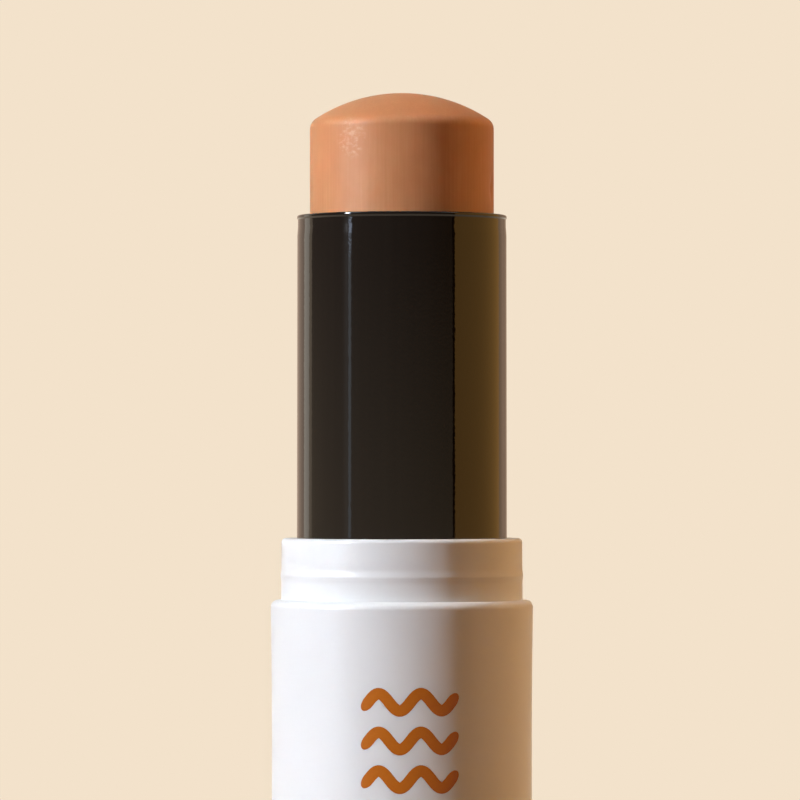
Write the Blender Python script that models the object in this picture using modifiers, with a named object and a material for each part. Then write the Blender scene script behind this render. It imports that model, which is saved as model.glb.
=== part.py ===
"""Twist-up sunscreen stick without its cap, with the bullet wound out of the barrel.

Metres, +Z up. The origin is the centre of the foot and the stick stands on Z = 0.
Every turned piece shares the Z axis, which is also the axis of both joints.
The spindle is fixed in the base. The lift cup is keyed to the barrel and threaded on the spindle,
so turning the barrel against the base carries the cup and the bullet up or down.
"""

import math

import bmesh
import bpy
from mathutils import Matrix

MM = 0.001

# Clearances that the pieces share
TOUCH_GAP = 0.3 * MM
PRESS_GAP = 0.05 * MM
TURN_GAP = 0.15 * MM
GLIDE_GAP = 0.2 * MM
THREAD_GAP = 0.3 * MM
OVERRUN = 0.4 * MM

# Snap bead that holds a pressed-in piece in the groove round it
SNAP_BEAD_PROUD = 0.15 * MM
SNAP_BEAD_HEIGHT = 0.9 * MM

# Sunscreen bullet
BULLET_RADIUS = 8.77 * MM
BULLET_STANDOUT = 11.67 * MM
BULLET_TIP = 2.8 * MM
DOME_RADIUS = 15.0 * MM
DOME_EDGE_RADIUS = 1.5 * MM
RETRACTED_DEPTH = 0.5 * MM

# Barrel
BARREL_WALL = 1.05 * MM
BARREL_STANDOUT = 30.75 * MM
BARREL_DRAFT = 0.03 * MM
BARREL_EDGE = 0.2 * MM
RIM_LIP_HEIGHT = 0.35 * MM
RIM_LIP_PROUD = 0.02 * MM
RIM_BAND_DEPTH = 0.06 * MM
RIM_BAND_HEIGHT = 1.1 * MM
RIM_BLEND_HEIGHT = 0.85 * MM
RIM_STEP_HEIGHT = 0.15 * MM
KEYWAY_DEPTH = 0.45 * MM

# Neck collar
COLLAR_WALL = 1.33 * MM
COLLAR_INSERT = 14.0 * MM
COLLAR_EDGE = 0.3 * MM
COLLAR_LAND_HEIGHT = 3.0 * MM
COLLAR_RELIEF = 0.25 * MM
COLLAR_SNAP_RISE = 4.0 * MM
NECK_HEIGHT = 5.87 * MM
NECK_DRAFT = 0.04 * MM
CAP_BEAD_DROP = 3.57 * MM
CAP_BEAD_HEIGHT = 1.2 * MM
CAP_BEAD_PROUD = 0.06 * MM

# Base shell
SHELL_WALL = 0.95 * MM
SHELL_LENGTH = 45.83 * MM
SHELL_FLARE = 0.12 * MM
SHELL_FLARE_LENGTH = 14.0 * MM
SHELL_FLARE_SHARES = (0.6, 0.3, 0.0)
SHOULDER_RADIUS = 0.55 * MM
FOOT_RADIUS = 0.9 * MM
FOOT_RING_WIDTH = 1.8 * MM
FOOT_RECESS = 0.6 * MM
FLOOR_THICKNESS = 1.4 * MM
SOCKET_WALL = 1.7 * MM
SOCKET_HEIGHT = 6.0 * MM
RIB_COUNT = 6
RIB_THICKNESS = 0.8 * MM
RIB_WEB_HEIGHT = 4.5 * MM

# Drive spindle
SPINDLE_CORE = 1.8 * MM
THREAD_DEPTH = 0.7 * MM
THREAD_LEAD = 6.0 * MM
THREAD_STARTS = 2
THREAD_CREST_SHARE = 0.28
THREAD_FLANK_SHARE = 0.14
JOURNAL_STEP = 0.2 * MM
DRIVE_STEP = 0.2 * MM
DRIVE_SIDES = 6
FLANGE_THICKNESS = 1.2 * MM
SNAP_HEAD_PROUD = 0.45 * MM
SNAP_HEAD_HEIGHT = 0.9 * MM
SPINDLE_POINT = 1.0 * MM

# Friction ring
RING_SECTION = 1.5 * MM

# Barrel end plug
PLUG_WEB = 1.5 * MM
PLUG_FLANGE = 1.0 * MM
PLUG_DEPTH = 3.0 * MM
PLUG_WALL = 1.0 * MM
PLUG_LEAD_IN = 0.4 * MM

# Lift cup
CUP_HEIGHT = 8.0 * MM
CUP_FLOOR = 1.4 * MM
CUP_WALL = 0.6 * MM
CUP_STOP_DEPTH = 0.6 * MM
NUT_WALL = 1.2 * MM
NUT_HEIGHT = 6.0 * MM
VANE_COUNT = 4
VANE_THICKNESS = 0.7 * MM
VANE_HEIGHT = 4.0 * MM
KEY_WIDTH = 1.6 * MM
KEY_HEIGHT = 3.0 * MM
PORT_RADIUS = 1.0 * MM

# Facets
TURNED_SIDES = 48
SMALL_SIDES = 24
PORT_SIDES = 12
RING_SIDES = 8
THREAD_STEPS_PER_TURN = 14
DOME_STEPS = 6
EDGE_STEPS = 4
SHARP_EDGE = math.radians(32)
MERGE_DISTANCE = 0.001 * MM
WELD_DISTANCE = 0.005 * MM

# The hexagonal drive is turned by half a facet, so that no corner lies on a turned piece's edge
DRIVE_TURN = math.pi / TURNED_SIDES

# Radii, from the bullet outwards
BARREL_BORE = BULLET_RADIUS + GLIDE_GAP
BARREL_RADIUS = BARREL_BORE + BARREL_WALL
COLLAR_BORE = BARREL_RADIUS + TURN_GAP
COLLAR_RADIUS = COLLAR_BORE + COLLAR_WALL
SHELL_BORE = COLLAR_RADIUS + PRESS_GAP
SHELL_RADIUS = SHELL_BORE + SHELL_WALL

# Radii, from the spindle outwards
THREAD_CREST = SPINDLE_CORE + THREAD_DEPTH
JOURNAL_RADIUS = THREAD_CREST + JOURNAL_STEP
DRIVE_RADIUS = JOURNAL_RADIUS + DRIVE_STEP
SOCKET_RADIUS = DRIVE_RADIUS + TURN_GAP + SOCKET_WALL
BULLET_BORE = THREAD_CREST + THREAD_GAP
NUT_RADIUS = THREAD_CREST + THREAD_GAP + NUT_WALL
CUP_BORE = BULLET_RADIUS - CUP_WALL
KEY_REACH = BARREL_BORE + KEYWAY_DEPTH - TURN_GAP

# Heights, from the foot upwards
FLOOR_TOP = FOOT_RECESS + FLOOR_THICKNESS
SOCKET_TOP = FLOOR_TOP + SOCKET_HEIGHT
DRIVE_BOTTOM = FLOOR_TOP + TOUCH_GAP
FLANGE_TOP = SOCKET_TOP + TOUCH_GAP + FLANGE_THICKNESS
RING_MIDDLE = FLANGE_TOP + TOUCH_GAP + RING_SECTION / 2
PLUG_BOTTOM = RING_MIDDLE + RING_SECTION / 2 + TOUCH_GAP
SNAP_BOTTOM = PLUG_BOTTOM + PLUG_WEB + TOUCH_GAP
THREAD_BOTTOM = SNAP_BOTTOM + SNAP_HEAD_HEIGHT
BARREL_BOTTOM = PLUG_BOTTOM + PLUG_FLANGE + TOUCH_GAP
CUP_LOWEST = BARREL_BOTTOM + PLUG_DEPTH + TOUCH_GAP
COLLAR_BOTTOM = SHELL_LENGTH - COLLAR_INSERT
COLLAR_TOP = SHELL_LENGTH + NECK_HEIGHT
BARREL_TOP = COLLAR_TOP + BARREL_STANDOUT

# The stroke of the lift cup: from wound down to the place shown, and up to its stop
WIND_DOWN = BULLET_STANDOUT + RETRACTED_DEPTH
CUP_REST = CUP_LOWEST + WIND_DOWN
CUP_HIGHEST = BARREL_TOP - CUP_STOP_DEPTH - CUP_HEIGHT
SPINDLE_TOP = BARREL_TOP - RETRACTED_DEPTH - BULLET_TIP - TOUCH_GAP

WHITE_POLYPROPYLENE = ("white_polypropylene", "F4F3F1", 0.35)
BLACK_STYRENE = ("black_styrene", "1C1815", 0.12)
NATURAL_ACETAL = ("natural_acetal", "EDEAE0", 0.4)
NATURAL_POLYPROPYLENE = ("natural_polypropylene", "DDDDD6", 0.45)
CLEAR_SILICONE = ("clear_silicone", "C9CBC8", 0.5)
TINTED_BALM = ("tinted_balm", "C58C63", 0.45)


def clear_scene():
    """Remove what the scene holds, so that the stick is alone in it."""
    for obj in list(bpy.data.objects):
        bpy.data.objects.remove(obj, do_unlink=True)


def new_collection(name):
    """Make a collection in the scene and return it."""
    collection = bpy.data.collections.new(name)
    bpy.context.scene.collection.children.link(collection)
    return collection


def linear_colour(hex_code):
    """Turn an sRGB hex code into the linear colour that a shader takes."""
    channels = [int(hex_code[place:place + 2], 16) / 255 for place in (0, 2, 4)]
    return [((c + 0.055) / 1.055) ** 2.4 if c > 0.04045 else c / 12.92 for c in channels] + [1.0]


def material(finish):
    """Give the material of a finish, which is a name, a colour and a roughness."""
    name, hex_code, roughness = finish
    if name in bpy.data.materials:
        return bpy.data.materials[name]
    result = bpy.data.materials.new(name)
    result.use_nodes = True
    shader = result.node_tree.nodes["Principled BSDF"]
    shader.inputs["Base Color"].default_value = linear_colour(hex_code)
    shader.inputs["Roughness"].default_value = roughness
    shader.inputs["Metallic"].default_value = 0.0
    return result


def arc(centre_r, centre_z, radius, start, end, steps):
    """Points along an arc of a turned outline, from one angle to the other, in degrees."""
    angles = [math.radians(start + (end - start) * step / steps) for step in range(steps + 1)]
    return [(centre_r + radius * math.cos(a), centre_z + radius * math.sin(a)) for a in angles]


def bead(radius, middle, proud, height):
    """Three points of a bead round a turned piece, or of its groove in a bore, from the top down."""
    return [(radius, middle + height / 2), (radius + proud, middle), (radius, middle - height / 2)]


def turned(name, outline, collection, sides=TURNED_SIDES, ring=False):
    """Turn an outline of (radius, height) points about Z.

    The outline runs down the outer side. It is closed on itself for a ring, and ends on the axis
    otherwise.
    """
    count = len(outline)
    edges = [(i, i + 1) for i in range(count - 1)]
    if ring:
        edges.append((count - 1, 0))
    mesh = bpy.data.meshes.new(name)
    mesh.from_pydata([(radius, 0, height) for radius, height in outline], edges, [])
    obj = bpy.data.objects.new(name, mesh)
    collection.objects.link(obj)
    screw = obj.modifiers.new("turn", 'SCREW')
    screw.steps = sides
    screw.render_steps = sides
    screw.use_merge_vertices = True
    screw.merge_threshold = MERGE_DISTANCE
    return obj


def prism(name, sides, radius, height, collection):
    """Make an upright prism that stands on its own origin."""
    mesh = bpy.data.meshes.new(name)
    bm = bmesh.new()
    bmesh.ops.create_cone(bm, cap_ends=True, segments=sides, radius1=radius, radius2=radius,
                          depth=height, matrix=Matrix.Translation((0, 0, height / 2)))
    bm.to_mesh(mesh)
    bm.free()
    obj = bpy.data.objects.new(name, mesh)
    collection.objects.link(obj)
    return obj


def plate(name, outline, thickness, collection):
    """Make a flat plate that stands in the XZ plane, from its (radius, height) outline."""
    curve = bpy.data.curves.new(name, 'CURVE')
    curve.dimensions = '2D'
    curve.fill_mode = 'BOTH'
    curve.extrude = thickness / 2
    spline = curve.splines.new('POLY')
    spline.points.add(len(outline) - 1)
    for point, (radius, height) in zip(spline.points, outline):
        point.co = (radius, height, 0, 1)
    spline.use_cyclic_u = True
    drawn = bpy.data.objects.new(name, curve)
    collection.objects.link(drawn)
    mesh = bpy.data.meshes.new_from_object(drawn.evaluated_get(bpy.context.evaluated_depsgraph_get()))
    bpy.data.objects.remove(drawn, do_unlink=True)
    bm = bmesh.new()
    bm.from_mesh(mesh)
    bmesh.ops.remove_doubles(bm, verts=bm.verts, dist=MERGE_DISTANCE)
    bm.transform(Matrix.Rotation(math.radians(90), 4, 'X'))
    bmesh.ops.recalc_face_normals(bm, faces=bm.faces)
    bm.to_mesh(mesh)
    bm.free()
    obj = bpy.data.objects.new(name, mesh)
    collection.objects.link(obj)
    return obj


def spread(make, count, first_angle=0.0):
    """Make copies of a piece turned about Z, evenly round the circle."""
    copies = []
    for place in range(count):
        copy = make(place)
        copy.rotation_euler.z = first_angle + place * math.tau / count
        copies.append(copy)
    return copies


def combine(obj, others, operation):
    """Join the other shapes to a piece, or cut them out of it."""
    for other in others:
        step = obj.modifiers.new(other.name, 'BOOLEAN')
        step.operation = operation
        step.object = other
        other.parent = obj
        other.hide_render = True
        other.display_type = 'WIRE'


def thread_angle(height):
    """Angle of the thread's first crest at a height above the foot."""
    return math.tau * (height - THREAD_BOTTOM) / THREAD_LEAD


def threaded_bar(name, bottom, length, gap, collection, tip=0.0):
    """Make a length of the spindle's thread, grown on every side by a gap.

    The cross-section has one crest for each start. It turns by one full turn for each lead as it
    rises, so a spindle and the nut cut with it are in step wherever the nut is put. A tip is added
    above the length and tapers until the crests are gone. The twisted sides are split along their
    short diagonals, which lie closest to the true thread.
    """
    pitch = math.tau / THREAD_STARTS
    widening = gap / THREAD_CREST
    crest_half = pitch * THREAD_CREST_SHARE / 2 + widening
    root_start = crest_half + pitch * THREAD_FLANK_SHARE
    bm = bmesh.new()
    corners = []
    for start in range(THREAD_STARTS):
        middle = start * pitch + thread_angle(bottom)
        for offset in (-crest_half, 0.0, crest_half):
            corners.append((THREAD_CREST + gap, middle + offset))
        for offset in (root_start, pitch / 2, pitch - root_start):
            corners.append((SPINDLE_CORE + gap, middle + offset))
    ring = [bm.verts.new((r * math.cos(a), r * math.sin(a), 0)) for r, a in corners]
    face = bm.faces.new(ring)
    steps = math.ceil(THREAD_STEPS_PER_TURN * length / THREAD_LEAD)
    swept = bmesh.ops.spin(bm, geom=ring + list(face.edges) + [face], cent=(0, 0, 0), axis=(0, 0, 1),
                           dvec=(0, 0, length / steps), angle=math.tau * length / THREAD_LEAD,
                           steps=steps)
    if tip > 0:
        end = [item for item in swept["geom_last"] if isinstance(item, bmesh.types.BMFace)]
        drawn = bmesh.ops.extrude_face_region(bm, geom=end)
        bmesh.ops.delete(bm, geom=end, context='FACES_ONLY')
        rim = [item for item in drawn["geom"] if isinstance(item, bmesh.types.BMVert)]
        taper = SPINDLE_CORE / THREAD_CREST
        bmesh.ops.scale(bm, vec=(taper, taper, 1), verts=rim)
        bmesh.ops.translate(bm, vec=(0, 0, tip), verts=rim)
    sides = [side for side in bm.faces if len(side.verts) == 4]
    bmesh.ops.triangulate(bm, faces=sides, quad_method='SHORT_EDGE')
    bmesh.ops.recalc_face_normals(bm, faces=bm.faces)
    mesh = bpy.data.meshes.new(name)
    bm.to_mesh(mesh)
    bm.free()
    obj = bpy.data.objects.new(name, mesh)
    collection.objects.link(obj)
    return obj


def make_base_shell(parts, tools):
    """Outer shell of the base: a thin cup with a drive socket and ribs on its floor."""
    foot_wall = SHELL_RADIUS - SHELL_FLARE
    flare_start = SHELL_LENGTH - SHELL_FLARE_LENGTH
    shoulder_z = SHELL_LENGTH - SHOULDER_RADIUS
    snap_groove = bead(SHELL_BORE, COLLAR_BOTTOM + COLLAR_SNAP_RISE, SNAP_BEAD_PROUD, SNAP_BEAD_HEIGHT)
    outline = [(0, SOCKET_TOP), (SOCKET_RADIUS, SOCKET_TOP), (SOCKET_RADIUS, FLOOR_TOP),
               (SHELL_BORE, FLOOR_TOP)] + snap_groove[::-1] + [(SHELL_BORE, SHELL_LENGTH)]
    outline += arc(SHELL_RADIUS - SHOULDER_RADIUS, shoulder_z, SHOULDER_RADIUS, 90, 0, EDGE_STEPS)
    for share in SHELL_FLARE_SHARES:
        height = flare_start + (shoulder_z - flare_start) * share
        outline.append((foot_wall + SHELL_FLARE * share ** 2, height))
    outline += arc(foot_wall - FOOT_RADIUS, FOOT_RADIUS, FOOT_RADIUS, 0, -90, EDGE_STEPS)
    ring_inside = foot_wall - FOOT_RADIUS - FOOT_RING_WIDTH
    outline += [(ring_inside, 0), (ring_inside - FOOT_RECESS, FOOT_RECESS), (0, FOOT_RECESS)]
    shell = turned("base_shell", outline, parts)

    rib_edge = COLLAR_BORE + TURN_GAP
    rib_outline = [(SOCKET_RADIUS - OVERRUN, FLOOR_TOP - OVERRUN),
                   (SHELL_BORE + OVERRUN, FLOOR_TOP - OVERRUN),
                   (SHELL_BORE + OVERRUN, COLLAR_BOTTOM - TOUCH_GAP),
                   (rib_edge, COLLAR_BOTTOM - TOUCH_GAP),
                   (rib_edge, FLOOR_TOP + RIB_WEB_HEIGHT),
                   (SOCKET_RADIUS - OVERRUN, FLOOR_TOP + RIB_WEB_HEIGHT)]
    ribs = spread(lambda place: plate(f"rib_{place}", rib_outline, RIB_THICKNESS, tools), RIB_COUNT)
    combine(shell, ribs, 'UNION')

    socket = prism("socket_hole", DRIVE_SIDES, DRIVE_RADIUS + TURN_GAP, SOCKET_HEIGHT + OVERRUN, tools)
    socket.location.z = FLOOR_TOP
    socket.rotation_euler.z = DRIVE_TURN
    combine(shell, [socket], 'DIFFERENCE')
    return shell


def make_neck_collar(parts):
    """Collar pressed into the shell: it carries the cap's snap bead and guides the barrel."""
    length = COLLAR_INSERT + NECK_HEIGHT
    neck_top = COLLAR_RADIUS - NECK_DRAFT
    relief = COLLAR_BORE + COLLAR_RELIEF
    outline = arc(neck_top - COLLAR_EDGE, length - COLLAR_EDGE, COLLAR_EDGE, 90, 0, EDGE_STEPS)
    outline += bead(COLLAR_RADIUS, length - CAP_BEAD_DROP, CAP_BEAD_PROUD, CAP_BEAD_HEIGHT)
    outline += bead(COLLAR_RADIUS, COLLAR_SNAP_RISE, SNAP_BEAD_PROUD, SNAP_BEAD_HEIGHT)
    outline += [(COLLAR_RADIUS, COLLAR_EDGE), (COLLAR_RADIUS - COLLAR_EDGE, 0), (COLLAR_BORE, 0),
                (COLLAR_BORE, COLLAR_LAND_HEIGHT), (relief, COLLAR_LAND_HEIGHT + COLLAR_RELIEF),
                (relief, length - COLLAR_LAND_HEIGHT - COLLAR_RELIEF),
                (COLLAR_BORE, length - COLLAR_LAND_HEIGHT),
                (COLLAR_BORE, length - COLLAR_EDGE), (COLLAR_BORE + COLLAR_EDGE, length)]
    collar = turned("neck_collar", outline, parts, ring=True)
    collar.location.z = COLLAR_BOTTOM
    return collar


def make_barrel(parts, tools):
    """Tube that the bullet slides in, with four keyways that stop short of the rim."""
    length = BARREL_TOP - BARREL_BOTTOM
    upper = BARREL_RADIUS - BARREL_DRAFT
    lip = upper + RIM_LIP_PROUD
    band = upper - RIM_BAND_DEPTH
    band_bottom = length - RIM_BAND_HEIGHT
    outline = [(BARREL_BORE + BARREL_EDGE, length), (lip - BARREL_EDGE, length),
               (lip, length - BARREL_EDGE), (lip, length - RIM_LIP_HEIGHT),
               (band, length - RIM_LIP_HEIGHT - RIM_STEP_HEIGHT), (band, band_bottom),
               (upper, band_bottom - RIM_BLEND_HEIGHT),
               (BARREL_RADIUS, COLLAR_TOP - BARREL_BOTTOM), (BARREL_RADIUS, BARREL_EDGE),
               (BARREL_RADIUS - BARREL_EDGE, 0), (BARREL_BORE, 0)]
    outline += bead(BARREL_BORE, PLUG_DEPTH / 2, SNAP_BEAD_PROUD, SNAP_BEAD_HEIGHT)[::-1]
    outline.append((BARREL_BORE, length - BARREL_EDGE))
    barrel = turned("barrel", outline, parts, ring=True)

    keyway_width = KEY_WIDTH + 2 * GLIDE_GAP
    keyway_top = CUP_HIGHEST + KEY_HEIGHT + TOUCH_GAP - BARREL_BOTTOM
    keyway = [(BARREL_BORE - OVERRUN, -OVERRUN), (BARREL_BORE + KEYWAY_DEPTH, -OVERRUN),
              (BARREL_BORE + KEYWAY_DEPTH, keyway_top), (BARREL_BORE - OVERRUN, keyway_top)]
    cutters = spread(lambda place: plate(f"keyway_{place}", keyway, keyway_width, tools), VANE_COUNT)
    combine(barrel, cutters, 'DIFFERENCE')
    barrel.location.z = BARREL_BOTTOM
    return barrel


def make_end_plug(parts, tools):
    """Plug pressed into the barrel's lower end, with the bearing for the spindle's journal."""
    bearing = JOURNAL_RADIUS + TURN_GAP
    body = BARREL_BORE - PRESS_GAP
    top = PLUG_FLANGE + TOUCH_GAP + PLUG_DEPTH
    outline = [(body - PLUG_LEAD_IN, top), (body, top - PLUG_LEAD_IN)]
    outline += bead(body, PLUG_FLANGE + TOUCH_GAP + PLUG_DEPTH / 2, SNAP_BEAD_PROUD, SNAP_BEAD_HEIGHT)
    outline += [(body, PLUG_FLANGE), (BARREL_RADIUS - BARREL_EDGE, PLUG_FLANGE),
                (BARREL_RADIUS - BARREL_EDGE, 0), (bearing, 0), (bearing, PLUG_WEB),
                (body - PLUG_WALL, PLUG_WEB), (body - PLUG_WALL, top)]
    plug = turned("barrel_end_plug", outline, parts, ring=True)
    combine(plug, filling_ports(PLUG_WEB, tools, "plug"), 'DIFFERENCE')
    plug.location.z = PLUG_BOTTOM
    return plug


def filling_ports(floor, tools, owner):
    """Cutters for the round ports that the warm balm is poured through, between the vanes."""
    middle = (NUT_RADIUS + CUP_BORE) / 2

    def port(place):
        cutter = prism(f"{owner}_port_{place}", PORT_SIDES, PORT_RADIUS, floor + 2 * OVERRUN, tools)
        cutter.data.transform(Matrix.Translation((middle, 0, -OVERRUN)))
        return cutter

    return spread(port, VANE_COUNT, math.pi / VANE_COUNT)


def make_drive_spindle(parts, tools):
    """Screw that stands in the base: hexagonal foot, flange, journal, snap head and thread."""
    flange_bottom = SOCKET_TOP + TOUCH_GAP
    snap = JOURNAL_RADIUS + SNAP_HEAD_PROUD
    root = SPINDLE_CORE - JOURNAL_STEP
    outline = [(0, THREAD_BOTTOM + OVERRUN), (root, THREAD_BOTTOM + OVERRUN),
               (root, THREAD_BOTTOM), (JOURNAL_RADIUS, THREAD_BOTTOM), (snap, SNAP_BOTTOM),
               (JOURNAL_RADIUS, SNAP_BOTTOM), (JOURNAL_RADIUS, FLANGE_TOP),
               (SOCKET_RADIUS, FLANGE_TOP), (SOCKET_RADIUS, flange_bottom), (0, flange_bottom)]
    spindle = turned("drive_spindle", outline, parts, SMALL_SIDES)

    drive = prism("drive_foot", DRIVE_SIDES, DRIVE_RADIUS, flange_bottom + OVERRUN - DRIVE_BOTTOM, tools)
    drive.location.z = DRIVE_BOTTOM
    drive.rotation_euler.z = DRIVE_TURN
    thread_low = THREAD_BOTTOM - OVERRUN
    thread_length = SPINDLE_TOP - SPINDLE_POINT - thread_low
    thread = threaded_bar("thread", thread_low, thread_length, 0.0, tools, SPINDLE_POINT)
    thread.location.z = thread_low
    combine(spindle, [drive, thread], 'UNION')
    return spindle


def make_friction_ring(parts):
    """Soft ring on the journal, between the spindle's flange and the end plug."""
    middle = JOURNAL_RADIUS + TURN_GAP + RING_SECTION / 2
    outline = arc(middle, 0, RING_SECTION / 2, 180, -180, RING_SIDES)[:-1]
    ring = turned("friction_ring", outline, parts, SMALL_SIDES, ring=True)
    ring.location.z = RING_MIDDLE
    return ring


def make_lift_cup(parts, tools):
    """Cup that holds the bullet: a threaded nut in the middle, vanes, and keys in the keyways."""
    outline = [(0, NUT_HEIGHT), (NUT_RADIUS, NUT_HEIGHT), (NUT_RADIUS, CUP_FLOOR),
               (CUP_BORE, CUP_FLOOR), (CUP_BORE, CUP_HEIGHT), (BULLET_RADIUS, CUP_HEIGHT),
               (BULLET_RADIUS, 0), (0, 0)]
    cup = turned("lift_cup", outline, parts)

    wall_middle = BULLET_RADIUS - CUP_WALL / 2
    vane = [(NUT_RADIUS - OVERRUN, CUP_FLOOR / 2), (wall_middle, CUP_FLOOR / 2),
            (wall_middle, CUP_FLOOR + VANE_HEIGHT), (NUT_RADIUS - OVERRUN, CUP_FLOOR + VANE_HEIGHT)]
    key = [(wall_middle, 0), (KEY_REACH, 0), (KEY_REACH, KEY_HEIGHT), (wall_middle, KEY_HEIGHT)]
    vanes = spread(lambda place: plate(f"vane_{place}", vane, VANE_THICKNESS, tools), VANE_COUNT)
    keys = spread(lambda place: plate(f"key_{place}", key, KEY_WIDTH, tools), VANE_COUNT)
    combine(cup, vanes + keys, 'UNION')

    nut_low = CUP_REST - OVERRUN
    nut_thread = threaded_bar("nut_thread", nut_low, NUT_HEIGHT + 2 * OVERRUN, THREAD_GAP, tools)
    nut_thread.location.z = -OVERRUN
    combine(cup, [nut_thread] + filling_ports(CUP_FLOOR, tools, "cup"), 'DIFFERENCE')
    return cup


def make_bullet(parts, tools):
    """The balm: a straight bullet with a shallow dome, poured round the nut and the vanes."""
    bottom = CUP_FLOOR + TOUCH_GAP
    top = BARREL_TOP + BULLET_STANDOUT - CUP_REST
    dome_centre = top - DOME_RADIUS
    edge_r = BULLET_RADIUS - DOME_EDGE_RADIUS
    edge_angle = math.degrees(math.acos(edge_r / (DOME_RADIUS - DOME_EDGE_RADIUS)))
    edge_z = dome_centre + math.sqrt((DOME_RADIUS - DOME_EDGE_RADIUS) ** 2 - edge_r ** 2)
    seat = CUP_BORE - TOUCH_GAP
    shoulder = CUP_HEIGHT + TOUCH_GAP
    nut_pocket = NUT_RADIUS + TOUCH_GAP
    bore_top = SPINDLE_TOP + TOUCH_GAP - CUP_REST + WIND_DOWN
    outline = [(0, bore_top), (BULLET_BORE, bore_top), (BULLET_BORE, NUT_HEIGHT + TOUCH_GAP),
               (nut_pocket, NUT_HEIGHT + TOUCH_GAP), (nut_pocket, bottom), (seat, bottom),
               (seat, shoulder), (BULLET_RADIUS, shoulder)]
    outline += arc(edge_r, edge_z, DOME_EDGE_RADIUS, 0, edge_angle, EDGE_STEPS)
    outline += arc(0, dome_centre, DOME_RADIUS, edge_angle, 90, DOME_STEPS)[1:]
    outline.reverse()
    bullet = turned("sunscreen_bullet", outline, parts)

    slot_top = CUP_FLOOR + VANE_HEIGHT + TOUCH_GAP
    slot_inside = NUT_RADIUS - OVERRUN - TOUCH_GAP
    slot_outline = [(slot_inside, bottom - OVERRUN), (BULLET_RADIUS, bottom - OVERRUN),
                    (BULLET_RADIUS, slot_top), (slot_inside, slot_top)]
    slot_width = VANE_THICKNESS + 2 * TOUCH_GAP
    slots = spread(lambda place: plate(f"slot_{place}", slot_outline, slot_width, tools), VANE_COUNT)
    combine(bullet, slots, 'DIFFERENCE')
    return bullet


def joint_axis(name, height, parent, parts):
    """Empty on a joint's axis, which the moving pieces hang on."""
    empty = bpy.data.objects.new(name, None)
    empty.location.z = height
    empty.parent = parent
    parts.objects.link(empty)
    return empty


def finish(obj, coat):
    """Fix the shape of a piece, weld its cuts, shade it smooth and give it its material."""
    mesh = bpy.data.meshes.new_from_object(obj.evaluated_get(bpy.context.evaluated_depsgraph_get()))
    bm = bmesh.new()
    bm.from_mesh(mesh)
    bmesh.ops.remove_doubles(bm, verts=bm.verts, dist=WELD_DISTANCE)
    bm.to_mesh(mesh)
    bm.free()
    obj.modifiers.clear()
    obj.data = mesh
    mesh.shade_smooth()
    mesh.set_sharp_from_angle(angle=SHARP_EDGE)
    mesh.materials.clear()
    mesh.materials.append(material(coat))


def main():
    """Build every piece, hang the moving ones on their joints' axes and finish them."""
    clear_scene()
    parts = new_collection("sunscreen_stick")
    tools = new_collection("cutters")

    twist = joint_axis("twist_axis", 0, None, parts)
    feed = joint_axis("feed_axis", CUP_REST, twist, parts)
    base = [(make_base_shell(parts, tools), WHITE_POLYPROPYLENE),
            (make_neck_collar(parts), WHITE_POLYPROPYLENE),
            (make_drive_spindle(parts, tools), NATURAL_ACETAL),
            (make_friction_ring(parts), CLEAR_SILICONE)]
    turning = [(make_barrel(parts, tools), BLACK_STYRENE),
               (make_end_plug(parts, tools), NATURAL_POLYPROPYLENE)]
    rising = [(make_lift_cup(parts, tools), NATURAL_POLYPROPYLENE),
              (make_bullet(parts, tools), TINTED_BALM)]
    for obj, _ in turning:
        obj.parent = twist
    for obj, _ in rising:
        obj.parent = feed
    bpy.context.view_layer.update()
    for obj, coat in base + turning + rising:
        finish(obj, coat)


main()
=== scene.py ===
"""Looks of a twist-up sunscreen stick without its cap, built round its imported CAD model.

Metres, +Z up, in the CAD model's frame: the stick stands on Z = 0 round the Z axis, and the printed
side of its base faces -Y. The visible pieces, the spindle and the friction ring are surfaces worked
out with numpy. The end plug and the lift cup, which never show, are the CAD model's own pieces with
better materials.
"""

import logging
import math
from collections.abc import Sequence
from dataclasses import dataclass
from enum import Enum

import bmesh
import bpy
import numpy as np
from bpy.types import ID, Material, Mesh, Node, NodeSocket, NodeTree, Object, World
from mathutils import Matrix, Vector

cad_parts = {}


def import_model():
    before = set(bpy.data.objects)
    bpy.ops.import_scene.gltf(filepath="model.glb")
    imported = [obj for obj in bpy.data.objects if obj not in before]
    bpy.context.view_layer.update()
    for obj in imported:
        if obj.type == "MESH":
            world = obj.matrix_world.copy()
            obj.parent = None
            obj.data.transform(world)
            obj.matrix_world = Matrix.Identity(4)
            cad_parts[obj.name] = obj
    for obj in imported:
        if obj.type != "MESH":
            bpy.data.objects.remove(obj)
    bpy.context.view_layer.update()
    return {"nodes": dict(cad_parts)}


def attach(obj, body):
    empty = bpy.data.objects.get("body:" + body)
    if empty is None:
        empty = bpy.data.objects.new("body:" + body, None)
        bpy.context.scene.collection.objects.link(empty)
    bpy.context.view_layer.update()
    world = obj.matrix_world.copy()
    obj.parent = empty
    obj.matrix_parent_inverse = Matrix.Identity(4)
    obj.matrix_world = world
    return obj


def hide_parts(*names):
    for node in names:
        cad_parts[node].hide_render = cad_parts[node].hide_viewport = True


LOG = logging.getLogger("sunscreen_stick")

MM = 0.001
TURNED_UV = "turned"
UV_LENGTH = 0.1
ROUND_COLUMNS = 256
SMALL_COLUMNS = 96
SEAM = 0.05
WELD = 1e-7
SHARP_EDGE = math.radians(34)

Pair = tuple[float, float]
Triple = tuple[float, float, float]
Stop = tuple[Pair, Pair]
Colour = tuple[float, float, float, float]
Source = Node | NodeSocket


class Body(Enum):
    """The CAD bodies that a piece can ride on."""

    BASE = "base"
    BARREL = "turning_barrel"
    CARRIER = "bullet_carrier"


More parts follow.
